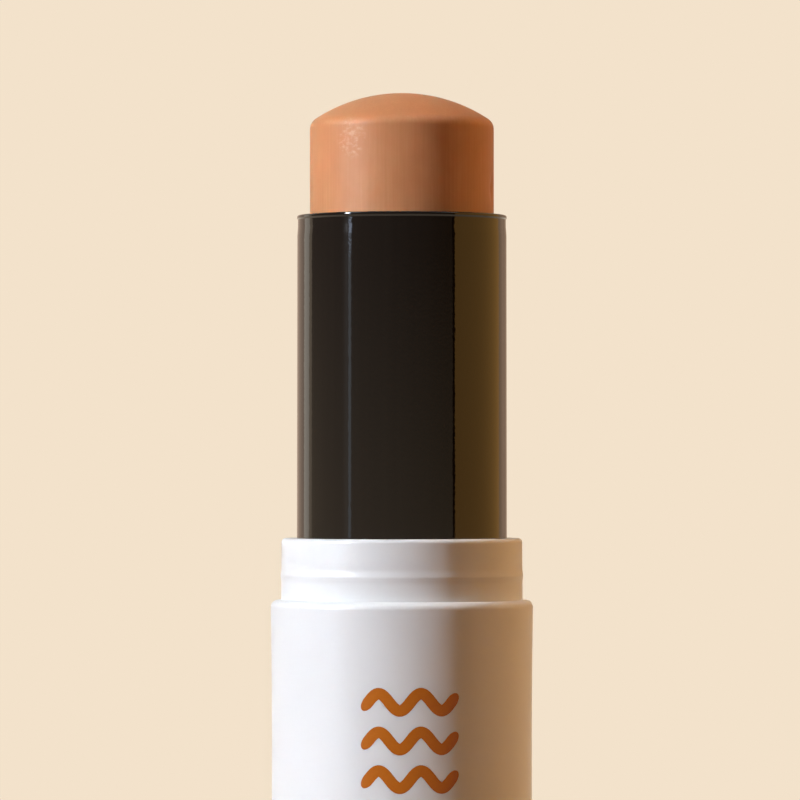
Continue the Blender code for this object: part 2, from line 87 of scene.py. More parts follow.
class Slot(Enum):
    """Names of the material slots for the new pieces; nothing in this script gives a piece one."""

    SHELL = "white_shell"
    COLLAR = "white_collar"
    SPINDLE = "spindle"
    RING = "ring"
    BARREL = "black_barrel"
    BALM = "balm"


# Outlines and surfaces


def rounded_outline(corners: Sequence[Triple], steps: int = 8) -> np.ndarray:
    """Draw an outline through corner points, each rounded by a radius of its own.

    With unit vectors u and v from a corner to its neighbours and the half-angle h between them, an
    arc of radius f starts f / tan(h) along u, ends as far along v and has its centre f / sin(h)
    along u + v. Its points are the centre plus f times the two end directions, mixed by
    sin((1 - s) w) / sin(w) and sin(s w) / sin(w), where w is the arc's angle, pi - 2 h.

    Args:
        corners: Distance from the axis, height and rounding of each corner, in millimetres.
        steps: Number of edges along each arc.

    Returns:
        Points of (distance from the axis, height), in metres.
    """
    table = np.array(corners, float) * MM
    share = np.linspace(0.0, 1.0, steps + 1)[:, None]
    pieces = [table[:1, :2]]
    for before, corner, after in zip(table[:-2], table[1:-1], table[2:]):
        place, fillet = corner[:2], corner[2]
        if fillet == 0.0:
            pieces.append(place[None])
            continue
        u = (before[:2] - place) / np.linalg.norm(before[:2] - place)
        v = (after[:2] - place) / np.linalg.norm(after[:2] - place)
        half = math.acos(np.clip(u @ v, -1.0, 1.0)) / 2
        centre = place + (u + v) / np.linalg.norm(u + v) * fillet / math.sin(half)
        first = (place + u * fillet / math.tan(half) - centre) / fillet
        last = (place + v * fillet / math.tan(half) - centre) / fillet
        sweep = math.pi - 2 * half
        mixed = np.sin((1 - share) * sweep) * first + np.sin(share * sweep) * last
        pieces.append(centre + fillet * mixed / math.sin(sweep))
    pieces.append(table[-1:, :2])
    return np.concatenate(pieces)


def arc_outline(centre: Pair, radius: float, start: float, end: float,
                steps: int) -> np.ndarray:
    """Draw an arc of an outline: the centre plus the radius times (cos a, sin a) for angles a.

    Args:
        centre: Distance of the arc's centre from the axis and its height, in millimetres.
        radius: Radius of the arc, in millimetres.
        start: First angle, in radians from the outward direction.
        end: Last angle, in radians.
        steps: Number of edges along the arc.

    Returns:
        Points of (distance from the axis, height), in metres.
    """
    angle = np.linspace(start, end, steps + 1)
    ring = np.stack([np.cos(angle), np.sin(angle)], axis=1)
    return (np.array(centre) + radius * ring) * MM


def supported(outline: np.ndarray, closed: bool = False, support: float = 0.06 * MM,
              longest: float = 1.5 * MM) -> np.ndarray:
    """Add points to an outline's straights, close to their ends and at even steps between.

    The points near the ends keep the shading of a straight flat beside a rounded corner.

    Args:
        outline: Points of (distance from the axis, height).
        closed: Whether the outline's end joins its start.
        support: Distance of the added points from the ends of a straight.
        longest: Longest edge that is left.

    Returns:
        The outline with the points added.
    """
    following = np.roll(outline, -1, axis=0)
    pieces = []
    for start, end in zip(outline, following):
        length = float(np.linalg.norm(end - start))
        shares = np.zeros(1)
        if length > 4 * support:
            inner = np.linspace(support / length, 1 - support / length,
                                max(2, math.ceil(length / longest) + 1))
            shares = np.concatenate([shares, inner])
        pieces.append(start + shares[:, None] * (end - start))
    if not closed:
        pieces[-1] = outline[-1:]
    return np.concatenate(pieces)


def beside(outline: np.ndarray, stops: Sequence[Stop]) -> np.ndarray:
    """Draw the line of a rib or a slot beside an outline, row for row.

    Between two stops the rows share out the rib's line by their own lengths along the outline.

    Args:
        outline: Points of (distance from the axis, height).
        stops: Places on the outline, each with the place on the rib's line beside it, in
            millimetres.

    Returns:
        The outline, with the rows from the first stop to the last moved to the rib's line.
    """
    line = outline.copy()
    length = np.concatenate([[0.0], np.cumsum(np.linalg.norm(np.diff(outline, axis=0), axis=1))])
    rows = [int(np.argmin(np.linalg.norm(outline - np.array(at) * MM, axis=1))) for at, _ in stops]
    moved = slice(rows[0], rows[-1] + 1)
    for part in range(2):
        beside_stops = [to[part] * MM for _, to in stops]
        line[moved, part] = np.interp(length[moved], length[rows], beside_stops)
    return line


@dataclass(frozen=True)
class Flutes:
    """Channels or ribs with flat, parallel sides, spread evenly round a turned surface.

    Attributes:
        outline: The surface's outline inside a flute, row for row beside the open one.
        count: Number of flutes.
        half_width: Half the distance between a flute's two sides.
        smallest: Distance from the axis below which the sides stay at a fixed angle.
        columns: Number of columns across one flute.
    """

    outline: np.ndarray
    count: int
    half_width: float
    smallest: float
    columns: int = 5


def turned_grid(outline: np.ndarray, flutes: Flutes | None = None,
                columns: int = ROUND_COLUMNS) -> tuple[np.ndarray, np.ndarray, np.ndarray]:
    """Turn an outline about Z, with or without flutes.

    A point at angle a is (r cos a, r sin a, z). The side of a flute lies at the angle
    asin(half width / r) from the flute's middle, so its two sides are flat and parallel, and the
    columns between two flutes share out the angle that is left.

    Args:
        outline: Points of (distance from the axis, height).
        flutes: The flutes, or None.
        columns: Rough number of columns round the surface.

    Returns:
        The radius, the angle and the height, each as an array of rows by columns.
    """
    if flutes is None:
        angle = np.broadcast_to(np.linspace(0.0, math.tau, columns, endpoint=False),
                                (len(outline), columns))
        radius, height = (np.repeat(part[:, None], columns, axis=1) for part in outline.T)
        return radius, angle, height
    sector = math.tau / flutes.count
    between = max(4, round(columns / flutes.count) - flutes.columns)
    across = np.linspace(-1.0, 1.0, flutes.columns)
    along = np.linspace(0.0, 1.0, between)
    side_in, side_out = (
        np.arcsin(flutes.half_width / np.maximum(rows[:, :1], flutes.smallest))
        for rows in (flutes.outline, outline))
    one = np.concatenate([side_in * across, side_out + along * (sector - 2 * side_out)], axis=1)
    inside = np.repeat(flutes.outline[:, None], flutes.columns, axis=1)
    open_part = np.repeat(outline[:, None], between, axis=1)
    rows = np.tile(np.concatenate([inside, open_part], axis=1), (1, flutes.count, 1))
    angle = np.concatenate([one + sector * place for place in range(flutes.count)], axis=1)
    return rows[:, :, 0], angle, rows[:, :, 1]


def grid_mesh(name: str, points: np.ndarray, uv: np.ndarray, close_rows: bool) -> Object:
    """Make a mesh object of a grid whose columns run round and whose rows may run round too.

    The volume that the quads enclose is the sum of a . (b x c) / 6 over their triangles. Where it
    is negative the quads are turned over, so that the faces point outwards.

    Args:
        name: Name of the object.
        points: Array of rows by columns by 3.
        uv: Array of rows + 1 (or rows, if they don't close) by columns + 1 by 2.
        close_rows: Whether the last row joins the first.

    Returns:
        The object, at the origin, with its poles and seams welded.
    """
    rows, columns = points.shape[:2]
    flat = points.reshape(-1, 3)
    row, column = np.indices((rows if close_rows else rows - 1, columns))
    corner_rows = row.reshape(-1, 1) + np.array([0, 0, 1, 1])
    corner_columns = column.reshape(-1, 1) + np.array([0, 1, 1, 0])
    quads = (corner_rows % rows) * columns + corner_columns % columns
    corner_uv = uv[corner_rows, corner_columns]
    a, b, c, d = (flat[quads[:, corner]] for corner in range(4))
    volume = (a * (np.cross(b, c) + np.cross(c, d))).sum() / 6
    if volume < 0:
        quads, corner_uv = quads[:, ::-1], corner_uv[:, ::-1]
    mesh = bpy.data.meshes.new(name)
    mesh.from_pydata(flat, [], quads)
    layer = mesh.uv_layers.new(name=TURNED_UV)
    layer.data.foreach_set("uv", np.ascontiguousarray(corner_uv, np.float32).ravel())
    return finished_object(name, mesh)


def finished_object(name: str, mesh: Mesh) -> Object:
    """Weld a mesh's poles, seams and empty faces, shade it and put it in the scene.

    Args:
        name: Name of the object.
        mesh: The mesh.

    Returns:
        The object, at the origin.
    """
    work = bmesh.new()
    work.from_mesh(mesh)
    bmesh.ops.remove_doubles(work, verts=work.verts, dist=WELD)
    bmesh.ops.dissolve_degenerate(work, dist=WELD, edges=work.edges)
    work.to_mesh(mesh)
    work.free()
    mesh.shade_smooth()
    mesh.set_sharp_from_angle(angle=SHARP_EDGE)
    return placed(name, mesh)


def placed(name: str, data: ID) -> Object:
    """Make an object of a mesh, a light or a camera, put it in the scene and return it."""
    item = bpy.data.objects.new(name, data)
    bpy.context.scene.collection.objects.link(item)
    return item


def turned_piece(name: str, grid: tuple[np.ndarray, np.ndarray, np.ndarray],
                 close_rows: bool) -> Object:
    """Make a piece of a turned grid, with u round it and v along its outline.

    u is the angle as a share of a turn. v is the length along the first column in UV_LENGTHs.

    Args:
        name: Name of the piece.
        grid: Radius, angle and height, each as rows by columns.
        close_rows: Whether the outline is closed.

    Returns:
        The piece.
    """
    radius, angle, height = grid
    points = np.stack([radius * np.cos(angle), radius * np.sin(angle), height], axis=-1)
    turns = np.concatenate([angle, angle[:, :1] + math.tau], axis=1) / math.tau
    line = np.stack([radius[:, 0], height[:, 0]], axis=1)
    if close_rows:
        turns = np.concatenate([turns, turns[:1]])
        line = np.concatenate([line, line[:1]])
    steps = np.linalg.norm(np.diff(line, axis=0), axis=1)
    along = np.concatenate([[0.0], np.cumsum(steps)]) / UV_LENGTH
    uv = np.stack([turns, np.repeat(along[:, None], turns.shape[1], axis=1)], axis=-1)
    return grid_mesh(name, points, uv, close_rows)


def smooth_step(value: np.ndarray) -> np.ndarray:
    """Ease a share from 0 to 1: 3 s^2 - 2 s^3, with s held between 0 and 1."""
    share = np.clip(value, 0.0, 1.0)
    return share * share * (3 - 2 * share)


# Materials


def linear(code: str) -> Colour:
    """Turn an sRGB hex code into the linear colour that a shader takes.

    Args:
        code: Six hex digits.

    Returns:
        Red, green, blue and alpha.
    """
    channels = [int(code[place:place + 2], 16) / 255 for place in (0, 2, 4)]
    red, green, blue = (((c + 0.055) / 1.055) ** 2.4 if c > 0.04045 else c / 12.92
                        for c in channels)
    return red, green, blue, 1.0


def add_node(tree: NodeTree, kind: str, settings: dict | None = None,
             links: dict[str | int, Source] | None = None) -> Node:
    """Add a node to a tree, with its settings and links.

    Args:
        tree: The node tree.
        kind: The node's type name, without its ShaderNode.
        settings: Values by the name of a property, or by the name or number of an input.
        links: Sockets, or nodes whose first output in use is meant, by the name or number of the
            input that they feed.

    Returns:
        The node.
    """
    node = tree.nodes.new(f"ShaderNode{kind}")
    for key, value in (settings or {}).items():
        if isinstance(key, str) and hasattr(node, key):
            setattr(node, key, value)
        else:
            node.inputs[key].default_value = value
    for key, source in (links or {}).items():
        if isinstance(source, Node):
            source = next(socket for socket in source.outputs if socket.enabled)
        tree.links.new(source, node.inputs[key])
    return node


def empty_tree(owner: Material | World) -> NodeTree:
    """Give the owner an empty node tree and return it."""
    owner.use_nodes = True
    owner.node_tree.nodes.clear()
    return owner.node_tree


@dataclass(frozen=True)
class Finish:
    """A real material with the way its surface was made, drawn by a small node tree."""

    title: str = "finish"

    def draw(self, tree: NodeTree) -> Node:
        """Add the finish's nodes to an empty tree and return its shader."""
        raise NotImplementedError

    def material(self) -> Material:
        """Return the finish's material, which is made once."""
        found = bpy.data.materials.get(self.title)
        if found is None:
            found = bpy.data.materials.new(self.title)
            tree = empty_tree(found)
            add_node(tree, "OutputMaterial", links={"Surface": self.draw(tree)})
        return found

    def put_on(self, piece: Object) -> None:
        """Make this the piece's only material."""
        piece.data.materials.clear()
        piece.data.materials.append(self.material())


def grain(tree: NodeTree, size: Sequence[float], detail: float = 2.0,
          origin: Sequence[float] = (0.0, 0.0, 0.0)) -> Node:
    """Add a noise whose grains have a given size in the piece's own frame.

    Args:
        tree: The node tree.
        size: Size of a grain along X, Y and Z, in millimetres.
        detail: Octaves of finer grain.
        origin: Shift of the pattern, in grains.

    Returns:
        The noise, whose value goes from 0 to 1 about 0.5.
    """
    place = add_node(tree, "TexCoord").outputs["Object"]
    scale = tuple(1 / (length * MM) for length in size)
    mapped = add_node(tree, "Mapping", {"Scale": scale, "Location": tuple(origin)},
                      {"Vector": place})
    return add_node(tree, "TexNoise", {"Scale": 1.0, "Detail": detail, "Roughness": 0.55},
                    {"Vector": mapped})


@dataclass(frozen=True)
class MottledFinish(Finish):
    """A finish whose colour and gloss change together in soft patches, over a fine relief.

    Attributes:
        colour: sRGB hex colour where the patches are low.
        patch_colour: sRGB hex colour where they are high.
        gloss: Roughness where the patches are low and where they are high.
        patch: Size of a patch along X, Y and Z, in millimetres.
        patch_detail: Octaves of finer patches.
        relief: Size of a grain of the relief along X, Y and Z, in millimetres.
        relief_height: Height of the relief, in metres.
        ior: Index of refraction.
        entry: Share of the light that enters the surface and spreads under it.
        depth: How far that light spreads, in metres.
        spread: How far its red, green and blue go, as shares of the depth.
    """

    colour: str = "FFFFFF"
    patch_colour: str = "FFFFFF"
    gloss: Pair = (0.5, 0.5)
    patch: Triple = (1.0, 1.0, 1.0)
    patch_detail: float = 3.0
    relief: Triple = (0.3, 0.3, 0.3)
    relief_height: float = 0.0
    ior: float = 1.5
    entry: float = 0.0
    depth: float = 1.0 * MM
    spread: Triple = (1.0, 0.2, 0.1)

    def draw(self, tree: NodeTree) -> Node:
        """Let one noise change the colour and the gloss and another one raise the surface.

        Args:
            tree: The material's empty node tree.

        Returns:
            The shader.
        """
        patches = grain(tree, self.patch, self.patch_detail)
        ends = {6: linear(self.colour), 7: linear(self.patch_colour)}
        colour = add_node(tree, "Mix", {"data_type": "RGBA", **ends}, {0: patches})
        low, high = self.gloss
        rough = add_node(tree, "MapRange", {"To Min": low, "To Max": high}, {0: patches})
        links = {"Base Color": colour, "Roughness": rough}
        if self.relief_height:
            bump = add_node(tree, "Bump", {"Distance": self.relief_height},
                            {"Height": grain(tree, self.relief, 3.0)})
            links["Normal"] = bump
        settings = {"IOR": self.ior, "Subsurface Weight": self.entry,
                    "Subsurface Scale": self.depth, "Subsurface Radius": self.spread,
                    "subsurface_method": "BURLEY"}
        return add_node(tree, "BsdfPrincipled", settings, links)


@dataclass(frozen=True)
class MouldedPolypropylene(MottledFinish):
    """Injection-moulded white polypropylene from a fine satin mould.

    The eye sees a soft, slightly deep white: light enters the plastic for about half a millimetre,
    so edges look soft, and a broad, weak gloss lies on top.
    """

    title: str = "moulded_white_polypropylene"
    colour: str = "F4F4F3"
    patch_colour: str = "EEEDEB"
    gloss: Pair = (0.29, 0.39)
    patch: Triple = (8.0, 8.0, 14.0)
    patch_detail: float = 2.0
    relief_height: float = 0.0008 * MM
    ior: float = 1.49
    entry: float = 1.0
    depth: float = 0.45 * MM
    spread: Triple = (1.0, 0.9, 0.8)


@dataclass(frozen=True)
class PolishedStyrene(Finish):
    """Black styrene tube from a polished mould.

    The eye sees a deep warm black with mirror-sharp reflections in its skin. Under them, fine
    scratches round the tube spread a lamp into a very dim upright line, and drag marks along the
    tube leave faint upright streaks.

    Attributes:
        colour: sRGB hex colour of the plastic.
        streak_colour: sRGB hex colour of the streaks.
        scratch_height: Depth of the scratches, in metres.
        scratch_gloss: Strength of what they mirror.
        pebble_height: Height of the skin's pebble, in metres.
        skin_roughness: Roughness of the skin.
        skin_ior: Index of refraction of the skin.
    """

    title: str = "polished_black_styrene"
    colour: str = "1A1512"
    streak_colour: str = "231D18"
    scratch_height: float = 0.0006 * MM
    scratch_gloss: float = 0.008
    pebble_height: float = 0.0025 * MM
    skin_roughness: float = 0.025
    skin_ior: float = 1.51

    def draw(self, tree: NodeTree) -> Node:
        """Streak the colour, scatter lamps upright and lay a clear skin on top.

        The skin has a pebble of 0.28 mm, which ruffles the edges of what it mirrors.

        Args:
            tree: The material's empty node tree.

        Returns:
            The shader.
        """
        streak = grain(tree, (0.45, 0.45, 60.0), 3.0)
        ends = {6: linear(self.colour), 7: linear(self.streak_colour)}
        colour = add_node(tree, "Mix", {"data_type": "RGBA", **ends}, {0: streak})
        scratch = grain(tree, (1.6, 1.6, 0.12), 2.0)
        rough = add_node(tree, "MapRange", {"To Min": 0.16, "To Max": 0.26}, {0: scratch})
        bump = add_node(tree, "Bump", {"Distance": self.scratch_height}, {"Height": scratch})
        tangent = add_node(tree, "Tangent", {"direction_type": "UV_MAP", "uv_map": TURNED_UV})
        pebble = add_node(tree, "Bump", {"Distance": self.pebble_height},
                          {"Height": grain(tree, (0.28, 0.28, 0.28), 1.0)})
        settings = {"IOR": 1.59, "Specular IOR Level": self.scratch_gloss, "Anisotropic": 0.9,
                    "Anisotropic Rotation": 0.25, "Coat Weight": 1.0,
                    "Coat Roughness": self.skin_roughness, "Coat IOR": self.skin_ior}
        return add_node(tree, "BsdfPrincipled", settings,
                        {"Base Color": colour, "Roughness": rough, "Normal": bump,
                         "Tangent": tangent, "Coat Normal": pebble})


@dataclass(frozen=True)
class PouredBalm(Finish):
    """Tinted sunscreen balm, poured warm into the barrel and set.

    The eye sees an opaque tan wax with a soft gloss: light spreads under its skin, reddest where
    it goes furthest, the side has fine upright drag lines from the barrel, and a touch has left a
    small crumpled, paler scuff.

    Attributes:
        colour: sRGB hex colour of the balm.
        drag_colour: sRGB hex colour of its drag lines.
        scuff_colour: sRGB hex colour of the scuff's creases.
        gloss: Roughness where the mottle is low and where it is high.
        drag_height: Height of the drag lines, in metres.
        crease_height: Height of the scuff's creases, in metres.
        depth: How far light spreads under the skin, in metres.
        scuff_place: Middle of the scuff, in metres.
        scuff_size: Half its width along X, Y and Z, in metres.
    """

    title: str = "poured_tinted_balm"
    colour: str = "CD8453"
    drag_colour: str = "E6A575"
    scuff_colour: str = "DEA67F"
    gloss: Pair = (0.44, 0.54)
    drag_height: float = 0.004 * MM
    crease_height: float = 0.007 * MM
    depth: float = 0.5 * MM
    scuff_place: Triple = (-0.0048, -0.0073, 0.0895)
    scuff_size: Triple = (0.0019, 0.0019, 0.0024)

    def draw(self, tree: NodeTree) -> Node:
        """Draw 0.2 mm drag lines up the side, a 2 mm mottle and the scuff.

        Args:
            tree: The material's empty node tree.

        Returns:
            The shader.
        """
        drag = grain(tree, (0.2, 0.2, 9.0), 3.0)
        mottle = grain(tree, (2.2, 2.2, 3.0), 3.0, (3.0, 1.0, 2.0))
        streaks = add_node(tree, "Math", {"operation": "MULTIPLY"}, {0: drag, 1: mottle})
        ends = {6: linear(self.colour), 7: linear(self.drag_colour)}
        colour = add_node(tree, "Mix", {"data_type": "RGBA", **ends}, {0: streaks})
        place = add_node(tree, "TexCoord").outputs["Object"]
        size = self.scuff_size
        centred = add_node(tree, "Mapping",
                           {"Scale": tuple(1 / s for s in size),
                            "Location": tuple(-p / s for p, s in zip(self.scuff_place, size))},
                           {"Vector": place})
        patch = add_node(tree, "TexGradient", {"gradient_type": "SPHERICAL"}, {"Vector": centred})
        edge = add_node(tree, "MapRange",
                        {"interpolation_type": "SMOOTHSTEP", "From Min": 0.0, "From Max": 0.5},
                        {0: patch.outputs["Fac"]})
        crumple = grain(tree, (0.45, 0.45, 0.3), 3.0)
        creases = add_node(tree, "MapRange",
                           {"interpolation_type": "SMOOTHSTEP", "From Min": 0.44, "From Max": 0.74},
                           {0: crumple})
        scuff = add_node(tree, "Math", {"operation": "MULTIPLY"}, {0: edge, 1: creases})
        shown = add_node(tree, "Mix", {"data_type": "RGBA", 7: linear(self.scuff_colour)},
                         {0: scuff, 6: colour})
        low, high = self.gloss
        rough = add_node(tree, "MapRange", {"To Min": low, "To Max": high}, {0: mottle})
        fine = add_node(tree, "Bump", {"Distance": self.drag_height}, {"Height": drag})
        crumpled = add_node(tree, "Bump", {"Distance": self.crease_height},
                            {"Height": scuff, "Normal": fine})
        settings = {"IOR": 1.45, "Specular IOR Level": 0.45, "Subsurface Weight": 1.0,
                    "Subsurface Scale": self.depth, "Subsurface Radius": (1.0, 0.5, 0.3),
                    "subsurface_method": "BURLEY"}
        return add_node(tree, "BsdfPrincipled", settings,
                        {"Base Color": shown, "Roughness": rough, "Normal": crumpled})


@dataclass(frozen=True)
class NaturalResin(MottledFinish):
    """Unpigmented plastic of a hidden moving piece, straight from the mould.

    The eye sees a milky, waxy off-white, whose depth and fine flow lines show that it holds no
    pigment.
    """

    colour: str = "EDEAE0"
    patch_colour: str = "E2DED2"
    gloss: Pair = (0.34, 0.48)
    patch: Triple = (1.2, 1.2, 3.0)
    relief: Triple = (0.25, 0.25, 0.25)
    relief_height: float = 0.001 * MM
    ior: float = 1.48
    entry: float = 0.6
    depth: float = 1.5 * MM


@dataclass(frozen=True)
class MouldedSilicone(MottledFinish):
    """Soft translucent silicone rubber of the friction ring, greased.

    The eye sees a cloudy grey with a wet, uneven shine where the grease lies.
    """

    title: str = "greased_silicone_rubber"
    colour: str = "C9CBC8"
    patch_colour: str = "B9BCBA"
    gloss: Pair = (0.3, 0.55)
    patch: Triple = (1.5, 1.5, 1.0)
    relief: Triple = (1.5, 1.5, 1.0)
    relief_height: float = 0.004 * MM
    ior: float = 1.41
    entry: float = 0.5


@dataclass(frozen=True)
class PadPrintInk(MottledFinish):
    """Orange pad-printing ink, one thin, smooth coat.

    The eye sees a flat, strong orange, a little glossier than the plastic, that thins by a trace
    where the pad let go.
    """

    title: str = "orange_pad_print"
    colour: str = "C26400"
    patch_colour: str = "CB7210"
    gloss: Pair = (0.28, 0.4)
    patch: Triple = (0.4, 0.4, 0.4)
    patch_detail: float = 2.0


WHITE = MouldedPolypropylene()
BLACK = PolishedStyrene()
BALM = PouredBalm()
ACETAL = NaturalResin("moulded_natural_acetal")
NATURAL = NaturalResin("moulded_natural_polypropylene", "DDDDD6", "D2D2CA", (0.39, 0.53))
SILICONE = MouldedSilicone()
INK = PadPrintInk()


# The stick's sub-assemblies, with their sizes in millimetres


def dress(piece: Object, finish: Finish, body: Body,
          node: str | None = None) -> Object:
    """Give a new piece its finish, its body and the CAD node it stands for.

    Args:
        piece: The piece.
        finish: Its finish.
        body: The CAD body that it rides on.
        node: The CAD node that it stands for, or None.

    Returns:
        The piece.
    """
    finish.put_on(piece)
    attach(piece, body.value)
    if node is not None:
        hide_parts(node)
    return piece


@dataclass
class TwistBase:
    """The white base: shell with its print, pressed-in collar, screw spindle and friction ring."""

    bore: float = 11.55
    radius: float = 12.5
    height: float = 45.83
    flare: float = 0.12
    flare_start: float = 31.83
    flare_end: float = 45.28
    shoulder: float = 0.7
    foot_rounding: float = 0.9
    foot_inside: float = 9.68
    foot_recess: float = 0.6
    floor_top: float = 2.0
    socket: float = 4.75
    socket_top: float = 8.0
    rib_count: int = 6
    rib_half: float = 0.4
    rib_web_top: float = 6.5
    rib_top: float = 31.53
    rib_edge: float = 10.32
    hexagon: float = 3.05
    hexagon_turn: float = math.pi / 48
    snap_height: float = 35.83
    snap_half: float = 0.45
    snap_proud: float = 0.15
    collar_bottom: float = 31.83
    collar_top: float = 51.7
    collar_radius: float = 11.5
    collar_bore: float = 10.17
    collar_seam: float = 0.7
    collar_draft: float = 0.04
    collar_lip: float = 0.4
    collar_lead: float = 0.3
    collar_land: float = 3.0
    collar_relief: float = 0.25
    cap_bead: float = 48.13
    cap_bead_half: float = 0.6
    cap_bead_proud: float = 0.06
    cap_bead_blend: float = 3.0
    spindle_bottom: float = 2.3
    drive: float = 2.9
    under_flange: float = 3.2
    flange_bottom: float = 8.3
    flange_top: float = 9.5
    journal: float = 2.7
    snap_head: float = 3.15
    snap_head_bottom: float = 13.4
    thread_bottom: float = 14.3
    thread_start: float = 0.02
    thread_row: float = 0.3
    thread_lead: float = 6.0
    thread_core: float = 1.8
    thread_depth: float = 0.7
    crest_share: float = 0.14
    spindle_point: float = 1.0
    spindle_top: float = 78.85
    ring_radius: float = 3.6
    ring_height: float = 10.55
    ring_half: float = 0.75
    ink_half: float = 0.6
    ink_proud: float = 0.02
    ink_tuck: float = 0.01
    ink_sunk: float = 0.04
    wave_reach: float = 4.0
    wave_swing: float = 0.8
    wave_shift: float = 0.8
    wave_heights: tuple[float, ...] = (36.55, 32.95, 29.35, 25.75)

    def wall_radius(self, height: np.ndarray) -> np.ndarray:
        """Give the shell's outer radius: it widens by flare times s^2 as s goes from 0 to 1."""
        share = np.clip((height - self.flare_start) / (self.flare_end - self.flare_start), 0.0, 1.0)
        return self.radius - self.flare + self.flare * share ** 2

    def hexagon_radius(self, angle: np.ndarray) -> np.ndarray:
        """Give the radius of a hexagon whose corners lie at 1.

        It is cos 30 / cos(a), where a is the angle from the middle of a side.

        Args:
            angle: Angles about the axis.

        Returns:
            The radius at each angle.
        """
        corner = math.pi / 6 + self.hexagon_turn
        off = np.mod(angle - corner, math.pi / 3) - math.pi / 6
        return math.cos(math.pi / 6) / np.cos(off)

    def shell(self) -> Object:
        """Build the shell: hexagonal socket and ribs inside, shoulder and foot outside.

        Returns:
            The shell.
        """
        wall = np.linspace(self.flare_end, self.flare_start, 20)
        outer = [(radius, height, 0.0) for radius, height in zip(self.wall_radius(wall), wall)]
        foot = self.radius - self.flare
        snap = self.snap_height
        inner = [(0.0, self.floor_top, 0.0), (self.hexagon, self.floor_top, 0.0),
                 (self.hexagon, self.socket_top, 0.0), (self.socket, self.socket_top, 0.2),
                 (self.socket, self.rib_web_top, 0.0), (self.socket, self.floor_top, 0.3),
                 (self.rib_edge, self.floor_top, 0.0), (self.bore, self.floor_top, 0.3),
                 (self.bore, self.rib_top, 0.0), (self.bore, snap - self.snap_half, 0.0),
                 (self.bore + self.snap_proud, snap, 0.2), (self.bore, snap + self.snap_half, 0.0),
                 (self.bore, self.height, 0.1), (self.radius, self.height, self.shoulder)]
        under = [(foot, 0.0, self.foot_rounding), (self.foot_inside, 0.0, 0.15),
                 (self.foot_inside - self.foot_recess, self.foot_recess, 0.3),
                 (0.0, self.foot_recess, 0.0)]
        outline = supported(rounded_outline(inner + outer[1:] + under))
        rib_line = beside(outline, [
            ((self.socket, self.rib_web_top), (self.socket, self.rib_web_top)),
            ((self.rib_edge, self.floor_top), (self.rib_edge, self.rib_web_top)),
            ((self.bore, self.floor_top), (self.rib_edge, self.rib_top)),
            ((self.bore, self.rib_top), (self.bore, self.rib_top))])
        flutes = Flutes(rib_line, self.rib_count, self.rib_half * MM, self.socket * MM)
        radii, angle, heights = turned_grid(outline, flutes)
        radius = outline[:, 0] / MM
        inside = np.arange(len(outline)) < np.argmax(outline[:, 1])
        in_hexagon = (radius < self.hexagon + 0.01) & (radius > 0.0) & inside
        radii = np.where(in_hexagon[:, None], radii * self.hexagon_radius(angle), radii)
        return turned_piece("base_shell_moulding", (radii, angle, heights), False)

    def collar(self) -> Object:
        """Build the collar: rounded lip, fine cap bead, snap bead and relieved bore.

        Returns:
            The collar.
        """
        low, top, bore, radius = (self.collar_bottom, self.collar_top, self.collar_bore,
                                  self.collar_radius)
        seam, draft, lead = self.collar_seam, self.collar_draft, self.collar_lead
        land, relief = self.collar_land, self.collar_relief
        bead, half, blend = self.cap_bead, self.cap_bead_half, self.cap_bead_blend
        snap = self.snap_height
        corners = [(radius - seam, top, 0.0), (radius - draft, top, self.collar_lip),
                   (radius - draft / 2, bead + half, blend),
                   (radius + self.cap_bead_proud, bead, 1.0), (radius, bead - half, blend),
                   (radius, snap + self.snap_half, 0.0), (radius + self.snap_proud, snap, 0.2),
                   (radius, snap - self.snap_half, 0.0), (radius, low + lead, 0.1),
                   (radius - lead, low, 0.1), (bore, low, 0.1), (bore, low + land, 0.1),
                   (bore + relief, low + land + relief, 0.1),
                   (bore + relief, top - land - relief, 0.1), (bore, top - land, 0.1),
                   (bore, top - lead, 0.2), (bore + lead, top, 0.2),
                   (radius - seam - SEAM, top, 0.0)]
        outline = supported(rounded_outline(corners), closed=True)
        return turned_piece("neck_collar_moulding", turned_grid(outline), True)

    def thread_radius(self, angle: np.ndarray) -> np.ndarray:
        """Give the screw's radius at an angle from its first crest: the core plus an eased crest.

        Of its half turn, each of the two crests takes crest_share to either side of its middle and
        as much again for each flank.

        Args:
            angle: Angles from the first crest.

        Returns:
            The radius at each angle, in millimetres.
        """
        off = np.abs(np.mod(angle + math.pi / 2, math.pi) - math.pi / 2)
        crest = math.pi * self.crest_share
        return self.thread_core + self.thread_depth * smooth_step((2 * crest - off) / crest)

